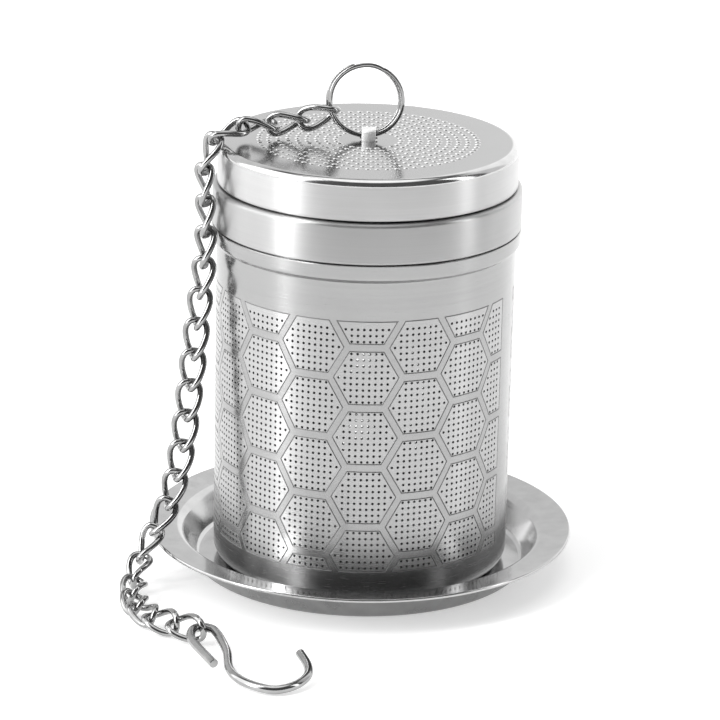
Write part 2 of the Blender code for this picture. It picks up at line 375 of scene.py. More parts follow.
def round_hole(x, y, radius, sides, turn=0.0):
    angles = [turn + 2 * math.pi * i / sides for i in range(sides)]
    return [(x + radius * math.cos(a), y + radius * math.sin(a)) for a in angles]


def pattern_box(radius):
    """Two corners of the printed pattern, in the flat layout of a wall of this radius."""
    return (PATTERN_LEFT * radius, PATTERN_LOW), (PATTERN_RIGHT * radius, PATTERN_HIGH)


def pattern_cells(radius):
    """The centre of every hexagon that shows, in the same layout."""
    low, high = pattern_box(radius)
    cells = []
    for column in CELL_COLUMNS:
        x = (CELL_AZIMUTH + column * CELL_STEP) * radius
        for row in CELL_ROWS:
            y = CELL_ROW + (row - 0.5 * (column % 2)) * CELL_ROW_PITCH
            if clipped(hexagon((x, y), 0), low, high):
                cells.append((x, y))
    return cells


# ---------------------------- finishes


def math_node(tree, operation, *values):
    """The output of a Math node, whose inputs are numbers or other outputs."""
    node = tree.nodes.new("ShaderNodeMath")
    node.operation = operation
    for socket, value in zip(node.inputs, values):
        if isinstance(value, float):
            socket.default_value = value
        else:
            tree.links.new(value, socket)
    return node.outputs[0]


def map_range(tree, value, numbers):
    """A node that maps the value from one range, the first two numbers, to another or to 0 to 1."""
    node = tree.nodes.new("ShaderNodeMapRange")
    tree.links.new(value, node.inputs["Value"])
    for name, number in zip(("From Min", "From Max", "To Min", "To Max"), numbers):
        node.inputs[name].default_value = number
    return node


class Finish:
    """A node material for steel, built up one effect at a time."""

    def __init__(self, name):
        self.material = bpy.data.materials.new(name)
        self.material.use_nodes = True
        self.tree = self.material.node_tree
        self.shader = self.tree.nodes["Principled BSDF"]
        self.shader.inputs["Metallic"].default_value = 1.0
        coords = self.tree.nodes.new("ShaderNodeTexCoord")
        self.coords = coords.outputs["Object"]
        self.height = None

    def link(self, a, b):
        self.tree.links.new(a, b)

    def math(self, operation, a, b):
        return math_node(self.tree, operation, a, b)

    def stretched(self, scale):
        """Coordinates in millimetres, each axis scaled by its own amount."""
        node = self.tree.nodes.new("ShaderNodeMapping")
        node.inputs["Scale"].default_value = [s / MM for s in scale]
        self.link(self.coords, node.inputs["Vector"])
        return node.outputs[0]

    def noise(self, scale, detail=2.0, roughness=0.5):
        node = self.tree.nodes.new("ShaderNodeTexNoise")
        node.inputs["Scale"].default_value = 1.0
        node.inputs["Detail"].default_value = detail
        node.inputs["Roughness"].default_value = roughness
        self.link(self.stretched(scale), node.inputs["Vector"])
        return node.outputs["Fac"]

    def ranged(self, value, *numbers):
        return map_range(self.tree, value, numbers).outputs["Result"]

    def greys(self, dark, light, by):
        node = self.tree.nodes.new("ShaderNodeMix")
        node.data_type = "RGBA"
        self.link(by, node.inputs["Factor"])
        node.inputs["A"].default_value = (dark, dark, dark, 1)
        node.inputs["B"].default_value = (light, light, light, 1)
        self.link(node.outputs["Result"], self.shader.inputs["Base Color"])

    def roughness(self, value):
        self.link(value, self.shader.inputs["Roughness"])

    def add_height(self, value, amount):
        scaled = self.math("MULTIPLY", value, amount)
        self.height = scaled if self.height is None else self.math("ADD", self.height, scaled)

    def bump(self, strength=1.0, distance=MM):
        node = self.tree.nodes.new("ShaderNodeBump")
        node.inputs["Strength"].default_value = strength
        node.inputs["Distance"].default_value = distance
        self.link(self.height, node.inputs["Height"])
        self.link(node.outputs["Normal"], self.shader.inputs["Normal"])

    def spun(self, amount):
        """Brushed round the Z axis, so that highlights spread up and down."""
        node = self.tree.nodes.new("ShaderNodeTangent")
        node.direction_type = "RADIAL"
        node.axis = "Z"
        self.link(node.outputs["Tangent"], self.shader.inputs["Tangent"])
        self.shader.inputs["Anisotropic"].default_value = amount
        self.shader.inputs["Anisotropic Rotation"].default_value = 0.25


def brushed(name, dark, light, rough, spread, grain, anisotropic):
    """Satin steel with fine lines round the axis, faint blotches and a few hair scratches."""
    finish = Finish(name)
    lines = finish.noise((0.05, 0.05, 9.0), 3.0, 0.6)
    coarse = finish.noise((0.02, 0.02, 1.6), 2.0)
    blotch = finish.noise((0.09, 0.09, 0.09), 2.0)
    scratch = finish.noise((0.35, 0.22, 14.0), 1.0)
    hairs = finish.ranged(scratch, 0.70, 0.76, 0.0, 1.0)
    both = finish.math("ADD", finish.math("MULTIPLY", lines, 0.6), finish.math("MULTIPLY", coarse, 0.4))
    finish.greys(dark, light, finish.ranged(both, 0.3, 0.7, 0.0, 1.0))
    varied = finish.ranged(lines, 0.25, 0.75, rough - spread, rough + spread)
    varied = finish.math("ADD", varied, finish.ranged(blotch, 0.3, 0.7, -0.02, 0.03))
    varied = finish.math("ADD", varied, finish.math("MULTIPLY", hairs, 0.08))
    finish.roughness(varied)
    finish.add_height(lines, grain)
    finish.add_height(coarse, grain * 0.7)
    finish.add_height(hairs, -grain * 0.5)
    finish.bump()
    finish.spun(anisotropic)
    return finish.material


def polished(name, dark, light, rough, spread, wave=0.004):
    """Bright steel with slow ripples, cloudy wear and fine scratches both ways."""
    finish = Finish(name)
    cloud = finish.noise((0.35, 0.35, 0.35), 3.0)
    ripple = finish.noise((0.16, 0.16, 0.16), 1.0)
    fine = finish.noise((2.6, 2.6, 2.6), 3.0, 0.6)
    one_way = finish.ranged(finish.noise((0.5, 9.0, 0.5), 1.0), 0.70, 0.78, 0.0, 1.0)
    other_way = finish.ranged(finish.noise((9.0, 0.7, 0.7), 1.0), 0.70, 0.78, 0.0, 1.0)
    scratches = finish.math("MAXIMUM", one_way, other_way)
    finish.greys(dark, light, finish.ranged(cloud, 0.3, 0.7, 0.0, 1.0))
    varied = finish.ranged(cloud, 0.3, 0.7, rough - spread, rough + spread)
    varied = finish.math("ADD", varied, finish.math("MULTIPLY", scratches, 0.07))
    varied = finish.math("ADD", varied, finish.ranged(fine, 0.3, 0.7, -0.01, 0.02))
    finish.roughness(varied)
    finish.add_height(ripple, wave)
    finish.add_height(fine, 0.0004)
    finish.add_height(scratches, -0.0003)
    finish.bump()
    return finish.material


def etched_line(name):
    """The rough floor of the etched outlines."""
    finish = Finish(name)
    grain = finish.noise((6.0, 6.0, 6.0), 3.0, 0.7)
    finish.greys(0.18, 0.32, grain)
    finish.roughness(finish.ranged(grain, 0.3, 0.7, 0.52, 0.7))
    finish.add_height(grain, 0.01)
    finish.bump()
    return finish.material


# Each with its name, darkest and lightest grey, roughness and how far that varies, then the height of a
# brushed grain in millimetres and how far its highlights spread, or the height of a polished ripple.
SATIN = brushed("satin_steel", 0.41, 0.45, 0.34, 0.03, 0.0008, 0.9)
LID_TOP = brushed("lid_top_steel", 0.50, 0.54, 0.16, 0.02, 0.0004, 0.0)
WALL = brushed("etched_steel", 0.36, 0.40, 0.23, 0.03, 0.0003, 0.82)
LID_SIDE = brushed("lid_side_steel", 0.50, 0.55, 0.32, 0.03, 0.0007, 0.88)
CELL = brushed("perforated_steel", 0.44, 0.49, 0.27, 0.03, 0.0006, 0.85)
LINE = etched_line("etched_line")
EDGE = polished("edge_steel", 0.52, 0.60, 0.12, 0.03)
# Near-white steel for the dished rims of the lid's holes: a painted highlight, so each rim reads as a bright
# glint
DIMPLE_HIGHLIGHT = polished("dimple_steel", 0.80, 0.88, 0.20, 0.04)
STRAP = polished("strap_steel", 0.88, 0.95, 0.55, 0.06, 0.01)
RING = polished("ring_steel", 0.28, 0.38, 0.08, 0.03, 0.006)
# Darker steel for the saucer's underside: painted shade, as little light reaches it
UNDERSIDE_SHADE = polished("saucer_under_steel", 0.25, 0.31, 0.30, 0.05)
# Darker steel for the inner skins and the walls of the holes: painted shade, so the inside and the holes read
# dark
INSIDE_SHADE = brushed("inner_steel", 0.24, 0.30, 0.42, 0.05, 0.0016, 0.75)
BRIGHT = polished("bright_steel", 0.46, 0.52, 0.13, 0.04)
CHAIN = polished("chain_steel", 0.30, 0.40, 0.08, 0.03, 0.012)
HOOK = polished("hook_steel", 0.34, 0.44, 0.11, 0.04, 0.008)


# ---------------------------- basket

wall_low, wall_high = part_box("basket_wall")
NECK_RADIUS = wall_high.x
WALL_RADIUS = NECK_RADIUS - 0.77 * MM
WALL_BOTTOM = wall_low.z
SEAM_HEIGHT = wall_high.z
WALL_SHEET = 0.5 * MM
WALL_CORNER = 2.5 * MM
WALL_EASE = 0.12 * MM
LIP_RADIUS = 20.5 * MM
SHOULDER_BOTTOM = 56.4 * MM
NECK_BORE = 23.9 * MM

# The rolled threads of the lid and the neck
THREAD_AROUND = 96
THREAD_ROW = 0.2 * MM
THREAD_PITCH = 2.2 * MM
THREAD_DEPTH = 0.35 * MM
THREAD_LAP = 0.8 * MM


def within(point, low, high, margin):
    """Whether the point lies in the rectangle, grown by the margin."""
    return all(low[k] - margin < point[k] < high[k] + margin for k in (0, 1))


def lay_plain_points(layout, radius, bottom, top):
    """Rows of points that keep the wall round, outside the pattern. It returns their first x and step."""
    low, high = pattern_box(radius)
    start = (SEAM - 2 * math.pi) * radius
    step = 2 * math.pi * radius / AROUND
    rows = max(2, round((top - bottom) / PLAIN_STEP))
    for i in range(rows + 1):
        height = bottom + (top - bottom) * i / rows
        edge = i in (0, rows)
        row = []
        for j in range(AROUND + 1):
            point = start + step * j, height
            if edge or j in (0, AROUND) or not within(point, low, high, PLAIN_MARGIN):
                row.append(point)
        layout.dots(row, "edge" if edge else None)
    return start, step


def lay_cell(layout, radius, x, y):
    """One hexagon: its etched outline and its holes, all cut off at the edge of the pattern."""
    low, high = pattern_box(radius)
    for grow, kind in ((ETCH_WIDTH / 2, None), (0.0, "etched"), (-ETCH_WIDTH / 2, None)):
        inset = ETCH_WIDTH / 2 - grow
        inner_low = low[0] + inset, low[1] + inset
        inner_high = high[0] - inset, high[1] - inset
        outline = clipped(hexagon((x, y), grow), inner_low, inner_high)
        if outline:
            layout.loop(divided(outline, OUTLINE_STEP), kind)
    for row, count in enumerate(HOLE_COUNTS):
        hole_y = y + (row - len(HOLE_COUNTS) // 2) * HOLE_ROW_PITCH
        for i in range(count):
            hole_x = x + (i - (count - 1) / 2) * HOLE_PITCH
            if within((hole_x, hole_y), low, high, -HOLE_RADIUS - HOLE_MARGIN):
                layout.hole(round_hole(hole_x, hole_y, HOLE_RADIUS, 6, math.pi / 6))


def in_cell(x, y, cells):
    """Whether the point is inside one of the hexagons."""
    for cx, cy in cells:
        dx, dy = abs(x - cx), abs(y - cy)
        if dy < CELL_HALF_HEIGHT and dy < (CELL_HALF_WIDTH - dx) * CELL_SLOPE:
            return True
    return False


class Wall:
    """The straight part of the basket's wall: two perforated skins, made flat and rolled up."""

    # The inner skin and the hole walls take the darker steel that is painted shade
    PLAIN, CELL, ETCHED, INNER = range(4)

    def __init__(self, shape, radius, bottom, top):
        self.shape = shape
        self.radius = radius
        layout = Layout()
        self.start, step = lay_plain_points(layout, radius, bottom, top)
        self.cells = {}
        for x, y in pattern_cells(radius):
            lay_cell(layout, radius, x, y)
            self.cells.setdefault(self.column(x), []).append((x, y))
        where, self.flat, self.triangles = layout.triangles()
        self.kinds = layout.kinds_at(where)
        self.join_seam(self.start + AROUND * step)
        self.roll()
        self.add_skins()
        for ring in layout.holes(where):
            for a, b in zip(ring, ring[1:] + ring[:1]):
                corners = [self.outer[a], self.inner[a], self.inner[b], self.outer[b]]
                shape.add_face(corners, self.INNER, "flat")

    def column(self, x):
        return round((x / self.radius - CELL_AZIMUTH) / CELL_STEP)

    def join_seam(self, end):
        """Points on the last edge of the layout give way to those on the first."""
        first = {}
        for i, (x, y) in enumerate(self.flat):
            if abs(x - self.start) < SAME:
                first[round(y / MM, 3)] = i
        self.same = {}
        for i, (x, y) in enumerate(self.flat):
            if abs(x - end) < SAME:
                self.same[i] = first[round(y / MM, 3)]

    def roll(self):
        """The flat points rolled up: an outer skin with the etched lines and the seam sunk, and an inner."""
        outer, inner, self.radial = [], [], []
        for i, (x, y) in enumerate(self.flat):
            azimuth = x / self.radius
            seam = abs(x - self.start) < SAME
            sunk = ETCH_DEPTH if self.kinds.get(i) == "etched" or seam else 0.0
            outer.append(polar(self.radius - sunk, azimuth, y))
            inner.append(polar(self.radius - WALL_SHEET, azimuth, y))
            self.radial.append(polar(1.0, azimuth, 0.0))
        self.outer = self.shape.add_points(outer)
        self.inner = self.shape.add_points(inner)

    def finish(self, triangle, kinds):
        """Which of the wall's finishes this triangle of its outer skin has."""
        x = sum(self.flat[i][0] for i in triangle) / 3
        y = sum(self.flat[i][1] for i in triangle) / 3
        if "etched" in kinds:
            return self.ETCHED
        column = self.column(x)
        near = [cell for at in (column - 1, column, column + 1) for cell in self.cells.get(at, [])]
        printed = PATTERN_LEFT < x / self.radius < PATTERN_RIGHT and PATTERN_LOW < y < PATTERN_HIGH
        return self.CELL if printed and in_cell(x, y, near) else self.PLAIN

    def add_skins(self):
        for triangle in self.triangles:
            kinds = [self.kinds.get(i) for i in triangle]
            if in_hole(kinds):
                continue
            finish = self.finish(triangle, kinds)
            corners = [self.same.get(i, i) for i in triangle]
            shade = "flat" if finish == self.ETCHED else [self.radial[i] for i in corners]
            self.shape.add_face([self.outer[i] for i in corners], finish, shade)
            back = corners[::-1]
            inward = [[-c for c in self.radial[i]] for i in back]
            self.shape.add_face([self.inner[i] for i in back], self.INNER, inward)

    def edge(self, points, height):
        """The vertices of one skin along its edge at this height, in order round the wall."""
        row = [i for i, p in enumerate(self.flat) if abs(p[1] - height) < SAME and i not in self.same]
        return [points[i] for i in sorted(row, key=lambda i: self.flat[i][0])]

    def rings(self, outline, height):
        """The rings of an outline that runs from the outer skin's edge at this height to the inner's."""
        first, last = self.edge(self.outer, height), self.edge(self.inner, height)
        turn = self.start / self.radius
        added = [self.shape.add_points(circle(r, z, len(first), turn)) for r, z in outline]
        return [first, *added, last]


def wall_foot(radius):
    """The rounded corner under the wall and the eased lip that the floor lies on."""
    corner = radius - WALL_CORNER, WALL_BOTTOM + WALL_CORNER
    outline = arc(corner, WALL_CORNER, 0, -90, 12)[1:]
    outline += [(LIP_RADIUS + WALL_EASE, WALL_BOTTOM), (LIP_RADIUS, WALL_BOTTOM + WALL_EASE)]
    outline += [(LIP_RADIUS, WALL_BOTTOM + WALL_SHEET - WALL_EASE)]
    outline += [(LIP_RADIUS + WALL_EASE, WALL_BOTTOM + WALL_SHEET)]
    return outline + arc(corner, WALL_CORNER - WALL_SHEET, -90, 0, 10)[:-1]


def wall_neck(radius):
    """The shoulder, the lower neck band and its eased top edge."""
    rise = 0.8 * MM
    knots = [
        (radius, SHOULDER_BOTTOM, 0),
        (radius + 0.12 * MM, SHOULDER_BOTTOM + 0.3 * MM, 0),
        (NECK_RADIUS - 0.12 * MM, SHOULDER_BOTTOM + rise, 0),
        (NECK_RADIUS, SHOULDER_BOTTOM + 1.5 * rise, 0),
        (NECK_RADIUS, SHOULDER_BOTTOM + 2.4 * rise, 0),
    ]
    path = [(min(p.x, NECK_RADIUS), p.y) for p in smoothed(knots, 4)]
    path.append((NECK_RADIUS, SEAM_HEIGHT))
    whole = sheet(path, WALL_SHEET)
    inner = NECK_RADIUS - WALL_SHEET
    outline = whole[1 : len(path) - 1]
    outline += [(NECK_RADIUS, SEAM_HEIGHT - WALL_EASE), (NECK_RADIUS - WALL_EASE, SEAM_HEIGHT)]
    outline += [(inner + WALL_EASE, SEAM_HEIGHT), (inner, SEAM_HEIGHT - WALL_EASE)]
    return outline + whole[len(path) + 1 : -1]


def make_basket_wall():
    shape = Shape()
    bottom = WALL_BOTTOM + WALL_CORNER
    wall = Wall(shape, WALL_RADIUS, bottom, SHOULDER_BOTTOM)
    foot = wall.rings(wall_foot(WALL_RADIUS), bottom)
    shape.bridge([r[::-1] for r in foot])
    shape.bridge(wall.rings(wall_neck(WALL_RADIUS), SHOULDER_BOTTOM))
    # The last finish is the darker steel painted as shade inside the basket
    finishes = [WALL, CELL, LINE, INSIDE_SHADE]
    shape.piece("basket_wall_detail", "basket", "basket_wall", finishes)


def lay_disc(radius, slots):
    """A disc with slots and staggered rings of holes, laid flat, and the indexes of its rim."""
    layout = Layout()
    rim = layout.loop([(x, y) for x, y, _ in circle(radius, 0.0)], "rim")
    for corners in slots:
        layout.hole(corners)
    for j in range(LID_HOLE_RINGS):
        reach = LID_HOLES_OUTER - LID_HOLES_STEP * j
        count = LID_HOLES_MOST - LID_HOLES_FEWER * j
        for i in range(count):
            a = 2 * math.pi * (i + 0.5 * (j % 2)) / count
            x, y, _ = polar(reach, a, 0.0)
            layout.loop(round_hole(x, y, LID_HOLE_RADIUS + LID_DIMPLE, LID_HOLE_SIDES, a), None)
            layout.hole(round_hole(x, y, LID_HOLE_RADIUS, LID_HOLE_SIDES, a))
    return layout, rim


def perforated_disc(shape, radius, top, bottom, slots, finishes, dish):
    """A flat disc with rings of dished holes. It returns its outer rings of vertices, above and below.

    finishes are for its top, its underside and the dished rims of the holes. The underside's finish also
    covers the hole walls; on the lid it is painted shade, and the rims' finish is a painted highlight.
    """
    finish, under_finish, dish_finish = finishes
    layout, rim = lay_disc(radius, slots)
    where, flat, triangles = layout.triangles()
    kinds_at = layout.kinds_at(where)
    holes = layout.holes(where)
    round_edge = {i for ring in holes if len(ring) == LID_HOLE_SIDES for i in ring}
    heights = [top - dish if i in round_edge else top for i in range(len(flat))]
    above = shape.add_points([(x, y, z) for (x, y), z in zip(flat, heights)])
    below = shape.add_points([(x, y, bottom) for x, y in flat])
    for triangle in triangles:
        if in_hole([kinds_at.get(i) for i in triangle]):
            continue
        dished = any(i in round_edge for i in triangle)
        shade = None if dished else [(0.0, 0.0, 1.0)] * 3
        shape.add_face([above[i] for i in triangle], dish_finish if dished else finish, shade)
        shape.add_face([below[i] for i in triangle[::-1]], under_finish, [(0.0, 0.0, -1.0)] * 3)
    for ring in holes:
        for a, b in zip(ring, ring[1:] + ring[:1]):
            shape.add_face([above[a], below[a], below[b], above[b]], under_finish, "flat")
    return [above[where[i]] for i in rim], [below[where[i]] for i in rim]


def make_basket_floor():
    low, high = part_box("basket_floor")
    ease = 0.1 * MM
    shape = Shape()
    over, under = perforated_disc(shape, high.x - ease, high.z, low.z, [], (0, 0, 0), 0.03 * MM)
    edge = [shape.add_points(circle(high.x, z)) for z in (high.z - ease, low.z + ease)]
    shape.bridge([r[::-1] for r in (over, *edge, under)])
    shape.piece("basket_floor_detail", "basket", "basket_floor", [WALL])


def make_collar():
    low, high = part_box("collar")
    lip = 0.7 * MM
    path = [(high.x, low.z), (high.x, low.z + 0.5 * MM)]
    path += arc((high.x - lip, high.z - lip), lip, 0, 90, 10)
    path += [(NECK_BORE + 0.6 * MM, high.z)]
    shape = Shape()
    shape.turn(eased(sheet(path, WALL_SHEET), 0.14 * MM))
    shape.piece("collar_detail", "basket", "collar", [SATIN])


def ridge(turns):
    """The height of a rolled thread, from 0 to 1, at this many turns from a root."""
    return 0.5 - 0.5 * math.cos(2 * math.pi * turns)


def threaded(shape, crest, depth, plain, bottom, top, rest):
    """A tube with one rolled thread on one face. depth is negative where the ridges point out.

    plain is the radius of the other face, and rest the (radius, height) points that close the outline.
    """
    rows = round((top - bottom) / THREAD_ROW)
    run_out = 0.8 * THREAD_PITCH
    rings = []
    for row in range(rows + 1):
        z = bottom + (top - bottom) * row / rows
        fade = min(1.0, (z - bottom) / run_out, (top - z) / run_out)
        points = []
        for i in range(THREAD_AROUND):
            a = 2 * math.pi * i / THREAD_AROUND
            r = crest + depth * (1 - fade * ridge((z - bottom) / THREAD_PITCH - i / THREAD_AROUND))
            points.append(polar(r, a, z))
        rings.append(shape.add_points(points))
    rings += [shape.add_points(circle(r, z, THREAD_AROUND)) for r, z in rest]
    ordered = rings if plain < crest else [r[::-1] for r in rings]
    shape.bridge(ordered, closed=True)


def make_neck_thread():
    """The threaded sleeve. Its lower end laps behind the seam between the collar and the wall."""
    low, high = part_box("neck_thread_ring")
    shape = Shape()
    bottom = low.z - THREAD_LAP
    rest = [(high.x, high.z), (high.x, bottom)]
    threaded(shape, NECK_BORE, THREAD_DEPTH, high.x, bottom, high.z, rest)
    shape.piece("neck_thread_detail", "basket", "neck_thread_ring", [SATIN])


# ---------------------------- lid

lid_low, lid_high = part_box("lid_cap")
LID_RADIUS = lid_high.x
LID_TOP_HEIGHT = lid_high.z
LID_SKIRT = lid_low.z
LID_EDGE = 1.2 * MM
LID_EDGE_STEPS = 12
LID_SHEET = 0.5 * MM
LID_DISH = 0.13 * MM
LID_THREAD_CREST = 23.6 * MM

# The strap that holds the ring
STRAP_SHEET = 0.3 * MM
STRAP_OUTSIDE = 1.35 * MM
STRAP_LEG = 1.2 * MM
STRAP_BEND = 0.6 * MM
STRAP_FOOT_BEND = 0.25 * MM
SLOT_HALF_DEPTH = 0.45 * MM


def strap_slots():
    """The corners of the two slots in the lid that the strap's legs go through."""
    _, strap_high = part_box("lid_strap")
    half = strap_high.x + 0.3 * MM
    slots = []
    for side in (-1, 1):
        front = side * STRAP_LEG - SLOT_HALF_DEPTH
        back = side * STRAP_LEG + SLOT_HALF_DEPTH
        slots.append([(-half, front), (half, front), (half, back), (-half, back)])
    return slots


def make_lid_cap():
    shape = Shape()
    flat = LID_RADIUS - LID_EDGE
    under_height = LID_TOP_HEIGHT - LID_SHEET
    # The lid's underside and hole walls take the darker steel painted as shade
    finishes = [LID_SIDE, LID_TOP, INSIDE_SHADE, EDGE, DIMPLE_HIGHLIGHT]
    # The dished hole rims take the near-white steel painted as a highlight
    disc = [finishes.index(f) for f in (LID_TOP, INSIDE_SHADE, DIMPLE_HIGHLIGHT)]
    over, under = perforated_disc(shape, flat, LID_TOP_HEIGHT, under_height, strap_slots(), disc, LID_DISH)
    centre = flat, LID_TOP_HEIGHT - LID_EDGE
    ease = 0.14 * MM
    outline = arc(centre, LID_EDGE, 90, 0, LID_EDGE_STEPS)[1:]
    outline += [(LID_RADIUS, LID_SKIRT + 0.6 * MM), (LID_RADIUS, LID_SKIRT + ease)]
    outline += [(LID_RADIUS - 0.05 * MM, LID_SKIRT + 0.04 * MM), (LID_RADIUS - ease, LID_SKIRT)]
    outline += [(LID_RADIUS - LID_SHEET + ease, LID_SKIRT)]
    outline += [(LID_RADIUS - LID_SHEET, LID_SKIRT + ease)]
    outline += arc(centre, LID_EDGE - LID_SHEET, 0, 90, 8)[:-1]
    rings = [over]
    rings += [shape.add_points(circle(r, z)) for r, z in outline]
    rings.append(under)
    rings = [r[::-1] for r in rings]
    edge = LID_EDGE_STEPS + 1
    shape.bridge(rings[:edge], finish=finishes.index(EDGE))
    shape.bridge(rings[edge - 1 :])
    shape.piece("lid_cap_detail", "lid", "lid_cap", finishes)


def make_lid_thread():
    low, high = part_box("lid_thread_ring")
    shape = Shape()
    thick = 0.6 * MM
    ease = 0.1 * MM
    inner = LID_THREAD_CREST - THREAD_DEPTH - thick
    top = high.z - thick
    rest = [(high.x - ease, top), (high.x, top + ease), (high.x, high.z), (inner, high.z), (inner, low.z)]
    threaded(shape, LID_THREAD_CREST, -THREAD_DEPTH, inner, low.z, top, rest)
    shape.piece("lid_thread_detail", "lid", "lid_thread_ring", [SATIN])


def make_lid_strap():
    """The bent strap: two feet, two legs through the lid and a rounded crown, with eased edges."""
    low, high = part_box("lid_strap")
    inside = STRAP_OUTSIDE - STRAP_SHEET
    bend = STRAP_BEND - STRAP_SHEET
    foot = STRAP_FOOT_BEND
    half = [(high.y, low.z), (inside + foot, low.z)]
    half += arc((inside + foot, low.z + foot), foot, -90, -180, 5)[1:]
    half += arc((inside - bend, high.z - STRAP_BEND), bend, 0, 90, 8)
    path = half + [(-y, z) for y, z in reversed(half)]
    outline = sheet(path, -STRAP_SHEET)
    count = len(path)
    middle = []
    for (y, z), (other_y, other_z) in zip(outline[:count], outline[::-1]):
        middle.append(((y + other_y) / 2, (z + other_z) / 2))
    middle += middle[::-1]
    shape = Shape()
    ease = 0.07 * MM
    rows = []
    for x, pull in ((-high.x, 0.55), (-high.x + ease, 1.0), (high.x - ease, 1.0), (high.x, 0.55)):
        points = [(m[0] + (p[0] - m[0]) * pull, m[1] + (p[1] - m[1]) * pull) for p, m in zip(outline, middle)]
        rows.append(shape.add_points([(x, y, z) for y, z in points]))
    shape.bridge(rows)
    for row, flip in ((rows[0], True), (rows[-1], False)):
        for i in range(count - 1):
            corners = [row[i], row[i + 1], row[2 * count - 2 - i], row[2 * count - 1 - i]]
            shape.add_face(corners[::-1] if flip else corners)
    shape.piece("lid_strap_detail", "lid", "lid_strap", [STRAP], 50)


# ---------------------------- saucer


# The pressed sheet, as radii and heights of its underside and slopes in degrees
SAUCER_SHEET = 0.6 * MM
SAUCER_FOOT = 27.3 * MM
SAUCER_WELL = 30.4 * MM
SAUCER_FLANGE = 5.2 * MM
SAUCER_SLOPE = 60
SAUCER_BEND = 1.6 * MM
SAUCER_LIP = 1.2 * MM
# Faces whose normals point down more steeply than this get the painted shade finish
SAUCER_SHADE_TILT = -0.3


def make_saucer():
    """The pressed saucer. Faces that look down get a darker steel, painted shade for the dim light under the
    sheet.
    """
    _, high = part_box("saucer")
    radius = high.x
    rim = high.z - SAUCER_SHEET
    path = [(r * MM, 0) for r in (0, 6, 12, 18)] + [(SAUCER_FOOT - SAUCER_BEND, 0)]
    path += arc((SAUCER_FOOT, SAUCER_BEND), SAUCER_BEND, -90, -90 + SAUCER_SLOPE, 10)
    lip = SAUCER_WELL + SAUCER_LIP, SAUCER_FLANGE - SAUCER_LIP
    path += arc(lip, SAUCER_LIP, 90 + SAUCER_SLOPE, 100, 10)
    path += [(radius - 2.5 * MM, rim - 0.46 * MM), (radius - 0.04 * MM, rim)]
    outline = sheet(path, SAUCER_SHEET)
    outline = [(min(r, radius), min(z, high.z)) for r, z in outline]
    shape = Shape()
    shape.turn(eased(outline, 0.2 * MM, 60, 6), 180)
    # Downward faces take the darker steel that is painted shade
    for at, face in enumerate(shape.faces):
        if normal([Vector(shape.points[i]) for i in face]).z < SAUCER_SHADE_TILT:
            shape.finishes[at] = 1
    shape.piece("saucer_detail", "saucer", "saucer", [BRIGHT, UNDERSIDE_SHADE])


# ---------------------------- ring, chain and hook


def swell(turn, roundness):
    """The cosine and sine of a turn, pushed out towards a rounded square."""
    across, up = math.cos(turn), math.sin(turn)
    return [math.copysign(abs(part) ** roundness, part) for part in (across, up)]


# How far the cut end of a wire is drawn in
END_SHRINK = 0.86

# Flattened wire, and where each turn's end stands, in degrees from the top
RING_HALF_RADIAL = 0.37 * MM
RING_HALF_AXIAL = 0.305 * MM
RING_WIRE_ROUNDNESS = 0.8
RING_FRONT_END = 27.0
RING_BACK_END = -16.0
RING_SPREAD = 0.2 * MM
RING_CROSSING = (-4.0, 4.0)
RING_STEPS = 200


def make_split_ring():
    """Two turns of flattened wire side by side. The front turn crosses to the back one near the top."""
    low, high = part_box("split_ring")
    centre = (low + high) / 2
    radius = (high.x - low.x) / 2 - RING_HALF_RADIAL - 0.1 * MM
    layer = (high.y - low.y) / 2 - RING_HALF_AXIAL - 0.01 * MM
    gap = RING_FRONT_END - RING_BACK_END
    total = 720.0 - gap
    cross_start = 360.0 - gap + RING_CROSSING[0]
    cross_end = 360.0 + RING_CROSSING[1]
    sections = []
    for i in range(RING_STEPS + 1):
        travelled = total * i / RING_STEPS
        a = math.radians(RING_FRONT_END + travelled)
        t = min(1.0, max(0.0, (travelled - cross_start) / (cross_end - cross_start)))
        y = -layer + 2 * layer * t * t * (3 - 2 * t)
        out = Vector((math.sin(a), 0, math.cos(a)))
        at = centre + out * radius + Vector((-y / layer * RING_SPREAD, y, 0))
        shrink = END_SHRINK if i in (0, RING_STEPS) else 1.0
        section = []
        for k in range(16):
            wide, deep = swell(2 * math.pi * k / 16, RING_WIRE_ROUNDNESS)
            across = out * RING_HALF_RADIAL * wide + Vector((0, RING_HALF_AXIAL * deep, 0))
            section.append(at + shrink * across)
        sections.append(section)
    shape = Shape()
    shape.sweep(sections)
    shape.piece("split_ring_detail", "ring", "split_ring", [RING])


LINK_PITCH = 5.2 * MM
LINK_OVERLAP = 1.4 * MM
LINK_HALF_WIDTH = 1.9 * MM
LINK_TWIST = math.radians(47)
LINK_ROUNDNESS = 0.7
LINK_WIRE = 1.05 * MM
LINK_MIDDLE = 1.3 * MM


def link_line():
    """The centre line of one twisted link, which runs along X from its joint at the origin."""
    half_length = (LINK_PITCH + LINK_OVERLAP) / 2
    points = []
    for i in range(720):
        turn = 2 * math.pi * (i + 0.5) / 720
        along, side = swell(turn, LINK_ROUNDNESS)
        across = side * LINK_HALF_WIDTH
        twist = LINK_TWIST * along
        x = LINK_PITCH / 2 + half_length * along
        points.append((x, across * math.cos(twist), across * math.sin(twist)))
    return evenly(points, 64, True)


def link_facing(node, start, along):
    """Which way the wide part of a link lies, from the middle of its CAD node."""
    middle = start + along * LINK_PITCH / 2
    points = np.array([tuple(v.co - middle) for v in node.data.vertices])
    axis = np.array(along)
    reach = points @ axis
    points = points[np.abs(reach) < LINK_MIDDLE]
    points = points - np.outer(points @ axis, axis)
    _, vectors = np.linalg.eigh(points.T @ points)
    across = Vector(vectors[:, -1])
    return (across - along * across.dot(along)).normalized()


